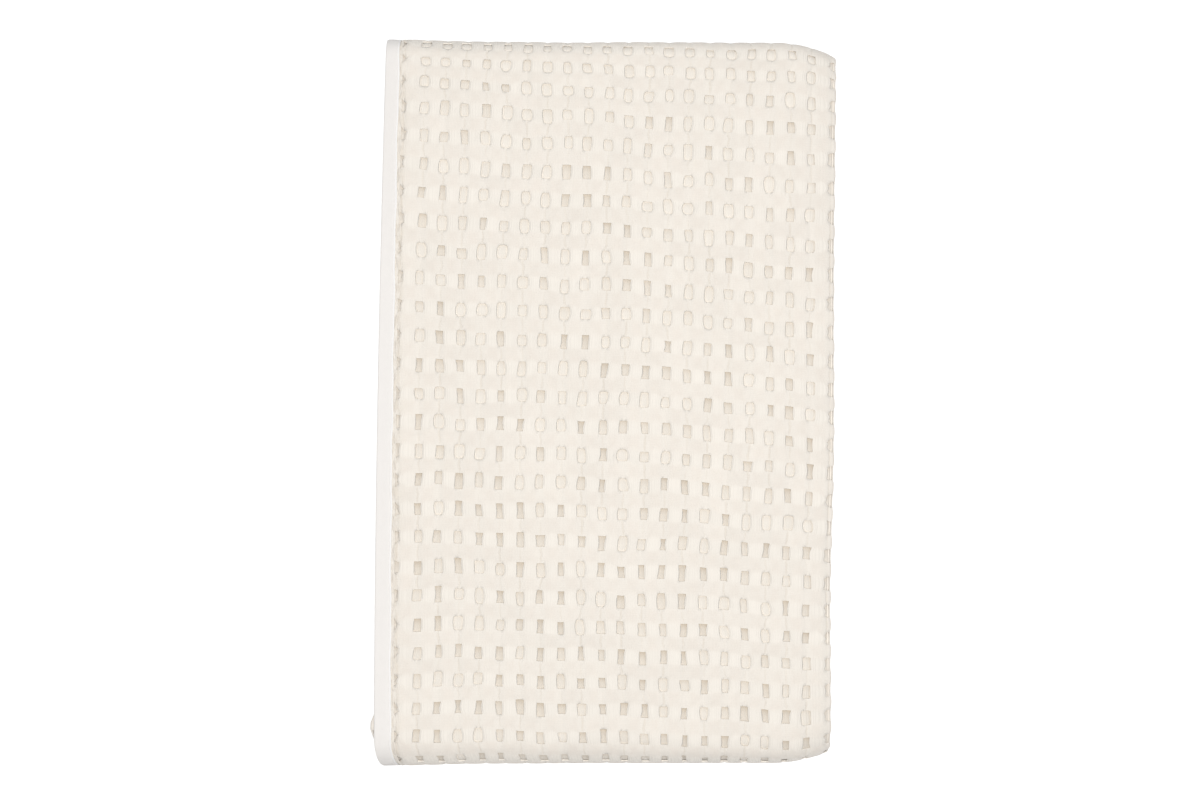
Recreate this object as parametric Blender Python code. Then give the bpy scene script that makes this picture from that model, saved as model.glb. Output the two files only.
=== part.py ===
# A double-bed bedspread of open waffle weave with bound side hems, folded flat.
# It is folded back and forth into a strip of six plies, and the strip is folded in half twice.
# Metres, +Z up. X runs across the folded bedspread, Y along it, and it rests on its underside at Z 0.
import math

import bmesh
import bpy

# Size of the folded bedspread
FOLDED_WIDTH = 0.408
FOLDED_LENGTH = 0.6435

# The cloth and how closely it lies
PLY_THICKNESS = 0.0020
PLY_GAP = 0.0005
PLY_COUNT = 6
STRIP_GAP = 0.0010
PLY_PITCH = PLY_THICKNESS + PLY_GAP
STRIP_THICKNESS = PLY_COUNT * PLY_PITCH - PLY_GAP
LEVEL_PITCH = STRIP_THICKNESS + STRIP_GAP

# The waffle's windows, cut at twice their pitch
WEAVE_COLUMNS = 22
WEAVE_ROWS = 24
COARSENING = 2
WINDOW_COLUMNS = WEAVE_COLUMNS // COARSENING
WINDOW_ROWS = WEAVE_ROWS // COARSENING
WINDOW_SHARE_ACROSS = 0.44
WINDOW_SHARE_ALONG = 0.50

# The binding, a tape folded over each side hem, and the cloth pressed thin inside it
BINDING_WIDTH = 0.0140
BINDING_THICKNESS = 0.0022
TAPE_THICKNESS = 0.0005
SEAT_GAP = 0.0003
HEM_THICKNESS = BINDING_THICKNESS - 2 * (TAPE_THICKNESS + SEAT_GAP)
HEM_SWELL = 0.0016
HEM_STATIONS = 3
BINDING_INSET = (BINDING_THICKNESS - PLY_THICKNESS) / 2

# How far short of the far end the two cut ends of the strip stop, by level
END_INSET = {0: 0.0090, 1: 0.0040}

# The folds of the strip, from its outer face inwards: side, distance in from the folded
# bedspread's edge, and how far and how often that wanders along the strip
STRIP_FOLDS = [
    {"side": "right", "inset": 0.0000, "wander": 0.0008, "waves": 5.0, "phase": 0.4},
    {"side": "left", "inset": 0.0022, "wander": 0.0012, "waves": 4.0, "phase": 2.1},
    {"side": "right", "inset": 0.0024, "wander": 0.0014, "waves": 6.0, "phase": 3.0},
    {"side": "left", "inset": 0.0036, "wander": 0.0014, "waves": 5.0, "phase": 0.9},
    {"side": "right", "inset": 0.0038, "wander": 0.0012, "waves": 4.0, "phase": 4.4},
]
HEM_INSET = {"outer": 0.0000, "inner": 0.0030}

# The outer hem and the left-hand folds under it slip inwards round the near fold, and just
# before it, for a short way, the upper one of these folds shows beside the hem
HEM_SLIP = 0.0150
FOLD_SLIP = 0.0056
FOLD_PEEP = 0.0070
PEEP_OFFSET = 0.0080
PEEP_HALF_LENGTH = 0.0130

# How the folded bedspread strays from a plain box. Starts, places and reaches are
# shares of its half width or half length from its middle.
LEFT_LEAN = 0.0110
LEAN_POWER = 1.8
RIGHT_FLARE = 0.0018
RIGHT_WAIST = 0.0030
WAIST_PLACE = -0.50
WAIST_REACH = 0.30
LEFT_END_STRETCH = 0.0030
STRETCH_START = 0.10
FAR_CORNER_PULL = 0.0110
NEAR_CORNER_PULL = 0.0090
CORNER_DROP = 0.10
CORNER_START = 0.72
CORNER_REACH = 0.45
EDGE_DROP = 0.10
EDGE_START = 0.80
UNEVENNESS = 0.015
UNEVEN_WAVES_ACROSS = 1.3
UNEVEN_WAVES_ALONG = 2.2

# Facets
TURN_SEGMENTS = 3
OUTER_WRAP_SEGMENTS = 7
FAR_WRAP_SEGMENTS = 5
INNER_WRAP_SEGMENTS = 4
COARSE_COLUMNS = [0, 4, 8, 10, 11]
COARSE_ROWS = [0, 1, 6, 11, 12]

CLOTH_COLOUR = (0.86, 0.80, 0.71, 1.0)
BINDING_COLOUR = (0.88, 0.86, 0.84, 1.0)

HALF_WIDTH = FOLDED_WIDTH / 2
HALF_LENGTH = FOLDED_LENGTH / 2
OUTER_WRAP_RADIUS = 1.5 * LEVEL_PITCH
SMALL_WRAP_RADIUS = 0.5 * LEVEL_PITCH
NEAR_CENTRE = -HALF_LENGTH + OUTER_WRAP_RADIUS + STRIP_THICKNESS / 2
FAR_CENTRE = HALF_LENGTH - SMALL_WRAP_RADIUS - STRIP_THICKNESS / 2


def clear_scene():
    for thing in list(bpy.data.objects):
        bpy.data.objects.remove(thing, do_unlink=True)


def make_material(name, colour, roughness):
    material = bpy.data.materials.new(name)
    material.use_nodes = True
    shader = material.node_tree.nodes["Principled BSDF"]
    shader.inputs["Base Color"].default_value = colour
    shader.inputs["Roughness"].default_value = roughness
    shader.inputs["Metallic"].default_value = 0.0
    return material


def level_height(level):
    return STRIP_THICKNESS / 2 + level * LEVEL_PITCH


def row_lines(rows):
    """Y of the chosen window rows' lines on the flat of the top level."""
    return [NEAR_CENTRE + (FAR_CENTRE - NEAR_CENTRE) * row / WINDOW_ROWS for row in rows]


def straight_run(ys, level, facing):
    """Stations on a flat level. The strip's outer face looks up or down, as facing is 1 or -1."""
    return [{"y": y, "z": level_height(level), "ny": 0.0, "nz": facing} for y in ys]


def wrap(centre_y, centre_z, radius, start, end, segments, outward):
    """Stations round a fold of the strip, between its two flat ends and without them."""
    found = []
    for step in range(1, segments):
        angle = math.radians(start + (end - start) * step / segments)
        across, up = math.cos(angle), math.sin(angle)
        found.append({
            "y": centre_y + radius * across,
            "z": centre_z + radius * up,
            "ny": outward * across,
            "nz": outward * up,
        })
    return found


def fold_path():
    """The strip's middle line in the YZ plane: folded in half, then in half again.

    It starts at the cut end of the bottom level, goes round the near end to the top level,
    folds back at the far end, and turns inside the near fold to its other cut end.
    """
    flat = row_lines(COARSE_ROWS)
    back = flat[::-1]
    middle = (level_height(0) + level_height(3)) / 2
    upper = (level_height(2) + level_height(3)) / 2
    path = straight_run([HALF_LENGTH - END_INSET[0]] + back, 0, -1.0)
    path += wrap(NEAR_CENTRE, middle, OUTER_WRAP_RADIUS, 270, 90, OUTER_WRAP_SEGMENTS, 1.0)
    top = straight_run(row_lines(range(WINDOW_ROWS + 1)), 3, 1.0)
    top[0]["top"] = True
    path += top
    for station in path:
        station["slip"] = (1 - station["nz"]) / 2
        reach = (station["y"] - NEAR_CENTRE - PEEP_OFFSET) / PEEP_HALF_LENGTH
        station["peep"] = math.exp(-reach * reach)
    path += wrap(FAR_CENTRE, upper, SMALL_WRAP_RADIUS, 90, -90, FAR_WRAP_SEGMENTS, 1.0)
    path += straight_run(back, 2, -1.0)
    path += wrap(NEAR_CENTRE, middle, SMALL_WRAP_RADIUS, 90, 270, INNER_WRAP_SEGMENTS, -1.0)
    path += straight_run(flat + [HALF_LENGTH - END_INSET[1]], 1, 1.0)
    length = 0.0
    for index, station in enumerate(path):
        if index:
            before = path[index - 1]
            length += math.hypot(station["y"] - before["y"], station["z"] - before["z"])
        station["along"] = length
    for station in path:
        station["share"] = station["along"] / length
    return path


def hem_x(station, which):
    """X of the binding's outer edge at this place along the strip."""
    x = -HALF_WIDTH + HEM_INSET[which]
    if which == "outer":
        x += HEM_SLIP * station.get("slip", 0.0)
    return x


def fold_x(fold, station):
    """X of the middle of one of the strip's folds at this place along the strip."""
    wave = math.sin(2 * math.pi * fold["waves"] * station["share"] + fold["phase"])
    inset = fold["inset"] + fold["wander"] * wave + PLY_PITCH / 2 + PLY_THICKNESS / 2
    if fold is STRIP_FOLDS[1]:
        inset -= FOLD_PEEP * station.get("peep", 0.0)
    if fold["side"] == "right":
        return HALF_WIDTH - inset
    return -HALF_WIDTH + inset + FOLD_SLIP * math.sin(math.pi * station.get("slip", 0.0))


def ply_height(ply):
    return STRIP_THICKNESS / 2 - PLY_THICKNESS / 2 - ply * PLY_PITCH


def hem_stations(edge, height, inset):
    """The cloth's edge inside its binding, from the raw edge to where it is full again."""
    raw = edge + TAPE_THICKNESS + SEAT_GAP
    pressed = edge + BINDING_WIDTH + SEAT_GAP
    return [
        {"x": raw, "h": height + inset, "thick": HEM_THICKNESS},
        {"x": pressed, "h": height + inset, "thick": HEM_THICKNESS},
        {"x": pressed + HEM_SWELL, "h": height, "thick": PLY_THICKNESS},
    ]


def strip_section(station):
    """The back-and-forth section of the six plies: middle-line points, normals and thickness."""
    points = []
    ends = [hem_x(station, "outer")] + [fold_x(fold, station) for fold in STRIP_FOLDS]
    ends.append(hem_x(station, "inner"))
    for ply in range(PLY_COUNT):
        height = ply_height(ply)
        rightwards = ply % 2 == 0
        side = 1.0 if rightwards else -1.0
        start, end = ends[ply], ends[ply + 1]
        lines = range(WINDOW_COLUMNS + 1) if ply == 0 else COARSE_COLUMNS
        if not rightwards:
            lines = [WINDOW_COLUMNS - line for line in reversed(COARSE_COLUMNS)]
        before, after = [], []
        if ply == 0:
            before = hem_stations(start, height, -BINDING_INSET)
            start = before.pop()["x"]
        if ply == PLY_COUNT - 1:
            after = hem_stations(end, height, BINDING_INSET)[::-1]
            end = after.pop(0)["x"]
        flat = [
            {"x": start + (end - start) * line / WINDOW_COLUMNS, "h": height, "thick": PLY_THICKNESS}
            for line in lines
        ]
        for point in before + flat + after:
            points.append({**point, "nx": 0.0, "nh": side})
        if ply == PLY_COUNT - 1:
            break
        for step in range(1, TURN_SEGMENTS):
            angle = math.radians(90 - side * 180 * step / TURN_SEGMENTS)
            across, up = math.cos(angle), math.sin(angle)
            points.append({
                "x": end + PLY_PITCH / 2 * across,
                "h": height - PLY_PITCH / 2 + PLY_PITCH / 2 * up,
                "thick": PLY_THICKNESS,
                "nx": side * across,
                "nh": side * up,
            })
    return points


def ramp(value, start, reach):
    """0 up to start, then rising smoothly to 1 over reach."""
    share = min(max((value - start) / reach, 0.0), 1.0)
    return share * share


def settle(x, y, z):
    """Moves a point of the true rectangle to where it lies in the slightly skewed, rounded stack."""
    u, v = x / HALF_WIDTH, y / HALF_LENGTH
    corner = ramp(u, CORNER_START, 1 - CORNER_START)
    far = ramp(v, 1 - CORNER_REACH, CORNER_REACH)
    near = ramp(-v, 1 - CORNER_REACH, CORNER_REACH)
    left_move = LEFT_LEAN * (max(1 + v, 0.0) / 2) ** LEAN_POWER
    waist = math.exp(-(((v - WAIST_PLACE) / WAIST_REACH) ** 2))
    right_move = RIGHT_FLARE * v - RIGHT_WAIST * waist
    x_settled = x + left_move * (1 - u) / 2 + right_move * (1 + u) / 2
    y_settled = y + LEFT_END_STRETCH * v * ramp(-u, STRETCH_START, 1 - STRETCH_START)
    y_settled += corner * (NEAR_CORNER_PULL * near - FAR_CORNER_PULL * far)
    uneven = math.sin(math.pi * UNEVEN_WAVES_ACROSS * u + 1) * math.sin(math.pi * UNEVEN_WAVES_ALONG * v)
    drop = CORNER_DROP * corner * max(far, near) + EDGE_DROP * ramp(u, EDGE_START, 1 - EDGE_START)
    z_settled = z * (1 + UNEVENNESS * uneven - drop)
    return x_settled, y_settled, z_settled


def place(station, x, h):
    """The point at x across and h out of the strip's middle, at a station of its path."""
    return settle(x, station["y"] + h * station["ny"], station["z"] + h * station["nz"])


def blend_corners(corners, across, along):
    """A point inside four corners, at shares across and along them."""
    first, second, third, fourth = corners
    low = first.co.lerp(second.co, across)
    high = fourth.co.lerp(third.co, across)
    return low.lerp(high, along)


def cut_window(mesh, upper, lower):
    """Frames one window between four corners of the upper face and four of the lower face."""
    low_across, high_across = 0.5 - WINDOW_SHARE_ACROSS / 2, 0.5 + WINDOW_SHARE_ACROSS / 2
    low_along, high_along = 0.5 - WINDOW_SHARE_ALONG / 2, 0.5 + WINDOW_SHARE_ALONG / 2
    places = [
        (low_across, low_along),
        (high_across, low_along),
        (high_across, high_along),
        (low_across, high_along),
    ]
    rims = []
    for corners in (upper, lower):
        rim = [mesh.verts.new(blend_corners(corners, *share)) for share in places]
        rims.append(rim)
        for side in range(4):
            after = (side + 1) % 4
            mesh.faces.new((corners[side], corners[after], rim[after], rim[side]))
    for side in range(4):
        after = (side + 1) % 4
        mesh.faces.new((rims[0][side], rims[0][after], rims[1][after], rims[1][side]))


def finish_object(name, mesh, material):
    bmesh.ops.recalc_face_normals(mesh, faces=mesh.faces)
    data = bpy.data.meshes.new(name)
    mesh.to_mesh(data)
    mesh.free()
    data.materials.append(material)
    thing = bpy.data.objects.new(name, data)
    bpy.context.scene.collection.objects.link(thing)
    return thing


def quad(mesh, first, second, place_in_row):
    """One face between two rows of points, from place_in_row to the next point."""
    after = (place_in_row + 1) % len(first)
    return mesh.faces.new((first[place_in_row], first[after], second[after], second[place_in_row]))


def make_cloth(path, material):
    """One sheet with thickness: the six-ply section carried along the strip's path."""
    mesh = bmesh.new()
    upper, lower = [], []
    for station in path:
        section = strip_section(station)
        for grid, side in ((upper, 0.5), (lower, -0.5)):
            grid.append([
                mesh.verts.new(place(
                    station,
                    point["x"] + side * point["thick"] * point["nx"],
                    point["h"] + side * point["thick"] * point["nh"],
                ))
                for point in section
            ])
    first_row = next(index for index, station in enumerate(path) if station.get("top"))
    window_rows = range(first_row, first_row + WINDOW_ROWS)
    window_columns = range(HEM_STATIONS - 1, HEM_STATIONS - 1 + WINDOW_COLUMNS)
    last_row, last_column = len(path) - 1, len(upper[0]) - 1
    for row in range(last_row):
        for column in range(last_column):
            if row in window_rows and column in window_columns:
                sides = [
                    grid[row][column:column + 2] + grid[row + 1][column:column + 2][::-1]
                    for grid in (upper, lower)
                ]
                cut_window(mesh, *sides)
            else:
                quad(mesh, upper[row], upper[row + 1], column)
                quad(mesh, lower[row], lower[row + 1], column)
    for column in (0, last_column):
        rims = [[line[column] for line in grid] for grid in (upper, lower)]
        for row in range(last_row):
            quad(mesh, *rims, row)
    for row in (0, last_row):
        for column in range(last_column):
            quad(mesh, upper[row], lower[row], column)
    return finish_object("bedspread_cloth", mesh, material)


def binding_outline(edge, height):
    """A flattened U round the cloth's raw edge, open towards the cloth."""
    half = BINDING_THICKNESS / 2
    inside = half - TAPE_THICKNESS
    inner = edge + BINDING_WIDTH
    upper_half = [(inner, inside), (inner, half), (edge + TAPE_THICKNESS, half), (edge, inside)]
    lower_half = [(x, -h) for x, h in reversed(upper_half)]
    channel = [(edge + TAPE_THICKNESS, -inside), (edge + TAPE_THICKNESS, inside)]
    return [(x, height + h) for x, h in upper_half + lower_half + channel]


def make_binding(name, which, height, path, material):
    mesh = bmesh.new()
    rings = []
    for station in path:
        outline = binding_outline(hem_x(station, which), height)
        rings.append([mesh.verts.new(place(station, x, h)) for x, h in outline])
    for ring, after in zip(rings, rings[1:]):
        for point in range(len(ring)):
            quad(mesh, ring, after, point)
    mesh.faces.new(rings[0])
    mesh.faces.new(rings[-1])
    return finish_object(name, mesh, material)


def centre_on_origin(things):
    """Hangs the pieces on an empty that brings the middle of their underside to the origin."""
    points = [vertex.co for thing in things for vertex in thing.data.vertices]
    middle_x = (min(point.x for point in points) + max(point.x for point in points)) / 2
    middle_y = (min(point.y for point in points) + max(point.y for point in points)) / 2
    holder = bpy.data.objects.new("bedspread", None)
    bpy.context.scene.collection.objects.link(holder)
    holder.location = (-middle_x, -middle_y, 0.0)
    for thing in things:
        thing.parent = holder


def main():
    clear_scene()
    waffle = make_material("ivory_waffle", CLOTH_COLOUR, 0.95)
    tape = make_material("white_tape", BINDING_COLOUR, 0.85)
    path = fold_path()
    outer_height = ply_height(0) - BINDING_INSET
    inner_height = ply_height(PLY_COUNT - 1) + BINDING_INSET
    things = [
        make_cloth(path, waffle),
        make_binding("outer_hem_binding", "outer", outer_height, path, tape),
        make_binding("inner_hem_binding", "inner", inner_height, path, tape),
    ]
    centre_on_origin(things)
    bpy.context.view_layer.update()


main()
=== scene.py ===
import math
from functools import partial

import bpy
import numpy as np
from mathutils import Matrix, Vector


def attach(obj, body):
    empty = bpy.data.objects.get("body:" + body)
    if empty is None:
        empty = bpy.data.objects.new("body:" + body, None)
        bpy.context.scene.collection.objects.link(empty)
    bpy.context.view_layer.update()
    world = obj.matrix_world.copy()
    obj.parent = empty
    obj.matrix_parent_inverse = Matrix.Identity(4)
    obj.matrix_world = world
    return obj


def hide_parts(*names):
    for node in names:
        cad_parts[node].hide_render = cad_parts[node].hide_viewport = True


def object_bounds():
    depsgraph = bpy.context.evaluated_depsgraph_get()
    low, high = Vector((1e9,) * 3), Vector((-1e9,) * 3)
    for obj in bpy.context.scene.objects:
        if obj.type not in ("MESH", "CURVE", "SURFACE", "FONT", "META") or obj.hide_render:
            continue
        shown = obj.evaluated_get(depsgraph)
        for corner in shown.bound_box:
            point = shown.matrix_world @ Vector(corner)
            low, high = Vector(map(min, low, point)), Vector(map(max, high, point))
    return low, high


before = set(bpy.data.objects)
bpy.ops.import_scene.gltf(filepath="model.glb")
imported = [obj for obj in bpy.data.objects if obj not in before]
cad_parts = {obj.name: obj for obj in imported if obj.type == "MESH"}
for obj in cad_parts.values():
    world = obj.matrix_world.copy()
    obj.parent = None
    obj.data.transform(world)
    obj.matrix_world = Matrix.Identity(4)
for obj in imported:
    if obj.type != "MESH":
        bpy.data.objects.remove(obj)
solidBox = [list(corner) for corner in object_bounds()]
print("frame loaded, the solids span", solidBox)

# How the bedspread is folded: the same sizes as its solids have, in metres
fold = {
    "width": 0.408,
    "length": 0.6435,
    "plyThickness": 0.0020,
    "plyPitch": 0.0025,
    "plies": 6,
    "stripGap": 0.0010,
    "bottomEndInset": 0.0090,
    "middleEndInset": 0.0040,
    "topRows": 24,  # rows of the weave along the top level
    "nearWrapRows": 4,
    "farWrapRows": 2,
    "innerWrapRows": 1,
}

# The bound side hems, and the cloth pressed thin inside them
hem = {
    "tapeWidth": 0.0140,
    "tapeSpread": 0.0014,  # wider at the near end, narrower at the far end
    "tapeThickness": 0.0005,
    "tapeHalfHeight": 0.0011,
    "seatGap": 0.0003,
    "swell": 0.0016,
    "innerInset": 0.0030,
    "slip": 0.0150,  # how far the outer hem slips inwards round the near fold
}

# The strip's folds from its outer face inwards
stripFolds = [
    {"side": 1, "inset": 0.0000, "wander": 0.0008, "waves": 5.0, "phase": 0.4},
    {"side": -1, "inset": 0.0022, "wander": 0.0012, "waves": 4.0, "phase": 2.1, "peep": 0.0070},
    {"side": 1, "inset": 0.0024, "wander": 0.0014, "waves": 6.0, "phase": 3.0},
    {"side": -1, "inset": 0.0036, "wander": 0.0014, "waves": 5.0, "phase": 0.9},
    {"side": 1, "inset": 0.0038, "wander": 0.0012, "waves": 4.0, "phase": 4.4},
]
peep = {"offset": 0.0080, "halfLength": 0.0130}  # near the near end the second fold shows beside the hem
foldSlip = 0.0056  # how far the left-hand folds slip inwards round the near fold

# How the stack strays from a plain box; starts, places and reaches are shares of its half size
stray = {
    "leftLean": 0.0110,
    "leanPower": 1.8,
    "rightFlare": 0.0018,
    "rightWaist": 0.0030,
    "waistPlace": -0.50,
    "waistReach": 0.30,
    "leftEndStretch": 0.0030,
    "stretchStart": 0.10,
    "farCornerPull": 0.0110,
    "nearCornerPull": 0.0090,
    "cornerDrop": 0.10,
    "cornerStart": 0.72,
    "cornerReach": 0.45,
    "edgeDrop": 0.10,
    "edgeStart": 0.80,
    "unevenness": 0.015,
    "wavesAcross": 1.3,
    "wavesAlong": 2.2,
}

# The weave: open windows between soft ribs and puffed bands, in columns and rows of its repeat
weave = {
    "columns": 22,
    "firstColumn": 0.34,  # where the outer hem's tape ends on the first column
    "lastColumn": 21.60,  # where the outer ply turns down into its fold
    "windowHalfWidth": 0.205,
    "windowHalfHeight": 0.25,
    "hemWindowStart": 0.385,
    "foldWindowEnd": 21.62,
    "endWindowInset": 0.42,  # rows, from the cut ends
    "cornerRounding": 0.13,
    "cornerPower": 4,
    "sunkRounding": 0.15,
    "waistCurve": 24.0,  # of a window with a narrow middle
    "waistBase": 0.75,
    "hemFade": 0.25,  # where the weave fades out, in columns and rows
    "turnFade": 0.4,
    "endFade": 0.4,
    "endHeight": 0.2,
    "settleRows": 3,  # in from the cut ends
    "pressed": 0.0003,  # metres, half the cloth inside a tape
    "lift": 0.00040,  # metres, the gentle hills of the outer ply
    "seed": 7,
}

halfWidth = fold["width"] / 2
halfLength = fold["length"] / 2
stripThickness = fold["plies"] * fold["plyPitch"] - (fold["plyPitch"] - fold["plyThickness"])
levelPitch = stripThickness + fold["stripGap"]
outerWrapRadius = 1.5 * levelPitch
smallWrapRadius = 0.5 * levelPitch
nearCentre = -halfLength + outerWrapRadius + stripThickness / 2
farCentre = halfLength - smallWrapRadius - stripThickness / 2
rowPitch = (farCentre - nearCentre) / fold["topRows"]
turnRadius = fold["plyPitch"] / 2
foldReach = turnRadius + fold["plyThickness"] / 2  # from a fold's outermost point to its ply's flat
tiny = 1e-9  # for a place just on a line


def levelHeight(level):
    return stripThickness / 2 + level * levelPitch


def plyHeight(ply):
    return stripThickness / 2 - fold["plyThickness"] / 2 - ply * fold["plyPitch"]


def unit(value):
    return np.clip(value, 0, 1)


def rise(value, start, reach):  # eased from 0 at start to 1 past its reach
    return smooth((value - start) / reach)


def smooth(value):  # an eased 0 to 1
    value = unit(value)
    return value * value * (3 - 2 * value)


# The strip's route in rows of the weave: folded in half, then in half again
def makeRoute():
    middle = (levelHeight(0) + levelHeight(3)) / 2
    upper = (levelHeight(2) + levelHeight(3)) / 2
    bottomEnd = halfLength - fold["bottomEndInset"]
    middleEnd = halfLength - fold["middleEndInset"]
    legs = [
        {"from": bottomEnd, "to": nearCentre, "level": 0, "facing": -1,
         "rows": (bottomEnd - nearCentre) / rowPitch},
        {"centre": (nearCentre, middle), "radius": outerWrapRadius, "angles": (270, 90), "outward": 1,
         "rows": fold["nearWrapRows"]},
        {"from": nearCentre, "to": farCentre, "level": 3, "facing": 1, "rows": fold["topRows"]},
        {"centre": (farCentre, upper), "radius": smallWrapRadius, "angles": (90, -90), "outward": 1,
         "rows": fold["farWrapRows"]},
        {"from": farCentre, "to": nearCentre, "level": 2, "facing": -1, "rows": fold["topRows"]},
        {"centre": (nearCentre, middle), "radius": smallWrapRadius, "angles": (90, 270), "outward": -1,
         "rows": fold["innerWrapRows"]},
        {"from": nearCentre, "to": middleEnd, "level": 1, "facing": 1,
         "rows": (middleEnd - nearCentre) / rowPitch},
    ]
    row = -legs[0]["rows"] - legs[1]["rows"]
    along = 0.0
    for leg in legs:
        leg["start"] = row
        leg["alongStart"] = along
        flat = "level" in leg
        leg["length"] = abs(leg["to"] - leg["from"]) if flat else math.pi * leg["radius"]
        row += leg["rows"]
        along += leg["length"]
    return legs, along


route, routeLength = makeRoute()
firstRow = route[0]["start"]
lastRow = route[-1]["start"] + route[-1]["rows"]


def routeAt(row):  # where the strip's middle is at each row, and which way its outer face looks
    row = np.clip(row, firstRow, lastRow)
    state = {key: np.zeros(row.shape) for key in ("y", "z", "ny", "nz", "share", "slip", "peep")}
    for leg in route:
        here = (row >= leg["start"] - tiny) & (row <= leg["start"] + leg["rows"] + tiny)
        step = (row[here] - leg["start"]) / leg["rows"]
        if "level" in leg:
            y, z = leg["from"] + (leg["to"] - leg["from"]) * step, levelHeight(leg["level"])
            ny, nz = 0, leg["facing"]
        else:
            angle = np.radians(leg["angles"][0] + (leg["angles"][1] - leg["angles"][0]) * step)
            cos, sin = np.cos(angle), np.sin(angle)
            y, z = leg["centre"][0] + leg["radius"] * cos, leg["centre"][1] + leg["radius"] * sin
            ny, nz = leg["outward"] * cos, leg["outward"] * sin
        for key, value in (("y", y), ("z", z), ("ny", ny), ("nz", nz)):
            state[key][here] = value
        state["share"][here] = (leg["alongStart"] + leg["length"] * step) / routeLength
    outer = row <= fold["topRows"]
    state["slip"][outer] = (1 - state["nz"][outer]) / 2
    state["peep"][outer] = np.exp(
        -((state["y"][outer] - nearCentre - peep["offset"]) / peep["halfLength"]) ** 2)
    state["tape"] = hem["tapeWidth"] - hem["tapeSpread"] * state["y"] / halfLength
    return state


def hemX(state, which):
    if which == "outer":
        return -halfWidth + hem["slip"] * state["slip"]
    return np.full_like(state["slip"], -halfWidth + hem["innerInset"])


def hemFlatX(state, which):  # where the cloth is full again
    return hemX(state, which) + state["tape"] + hem["seatGap"] + hem["swell"]


def foldX(number, state):
    turn = stripFolds[number]
    wave = np.sin(2 * np.pi * turn["waves"] * state["share"] + turn["phase"])
    inset = turn["inset"] + turn["wander"] * wave + foldReach - turn.get("peep", 0) * state["peep"]
    if turn["side"] < 0:
        inset = inset + foldSlip * np.sin(np.pi * state["slip"])
    return turn["side"] * (halfWidth - inset)


def makeSection():  # the six plies' flats and turns, in columns of the weave from the outer hem
    flatX = -halfWidth + hem["tapeWidth"] + hem["seatGap"] + hem["swell"]
    pitch = (halfWidth - foldReach - flatX) / (weave["lastColumn"] - weave["firstColumn"])
    tongue = (hem["tapeWidth"] - hem["tapeThickness"]) / pitch
    swell = hem["swell"] / pitch
    turn = math.pi * turnRadius / pitch
    column = weave["firstColumn"]
    parts = [
        {"kind": "tongue", "ply": 0, "start": column - swell - tongue, "end": column - swell},
        {"kind": "swell", "ply": 0, "start": column - swell, "end": column},
    ]
    x = flatX
    for ply in range(fold["plies"]):
        last = ply == fold["plies"] - 1
        side = -1 if ply % 2 else 1
        if last:
            endX = flatX + hem["innerInset"]
        else:
            endX = side * (halfWidth - stripFolds[ply]["inset"] - foldReach)
        length = abs(endX - x) / pitch
        parts.append({"kind": "flat", "ply": ply, "start": column, "end": column + length})
        column += length
        if not last:
            parts.append({"kind": "turn", "ply": ply, "start": column, "end": column + turn})
            column += turn
        x = endX
    parts.append({"kind": "swell", "ply": ply, "start": column, "end": column + swell})
    parts.append({"kind": "tongue", "ply": ply, "start": column + swell, "end": column + swell + tongue})
    return parts, pitch


section, columnPitch = makeSection()
turns = [part for part in section if part["kind"] == "turn"]
flats = [part for part in section if part["kind"] == "flat"]
firstColumn = section[0]["start"]
lastColumn = section[-1]["end"]
innerHemColumn = flats[-1]["end"]
foldSum = flats[1]["start"] + weave["lastColumn"]  # of a column of the second ply and the one above it


def lateral(column):  # columns from the stack's left side, on any ply
    found = np.array(column, float)
    for ply in range(1, fold["plies"]):
        turnMiddle = (flats[ply]["start"] + flats[ply - 1]["end"]) / 2
        fromTurn = column - flats[ply]["start"]
        folded = weave["lastColumn"] - fromTurn if ply % 2 else fromTurn
        found = np.where(column >= turnMiddle, folded, found)
    return found


def secondPlyX(column, part, state, plain):  # the second ply keeps in step with the first one's windows
    flatX = hemFlatX(state, "outer")
    columns = weave["lastColumn"] - (column - part["start"])
    lastColumns = weave["lastColumn"] - (part["end"] - part["start"])
    pitch = (foldX(0, state) - flatX) / (weave["lastColumn"] - weave["firstColumn"])
    zero = flatX - weave["firstColumn"] * pitch
    past = zero + (foldX(1, state) - zero) * unit(columns / lastColumns)
    follow = np.where(columns > 0, zero + columns * pitch, past)
    return plain + (follow - plain) * (1 - state["slip"]) ** 2


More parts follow.
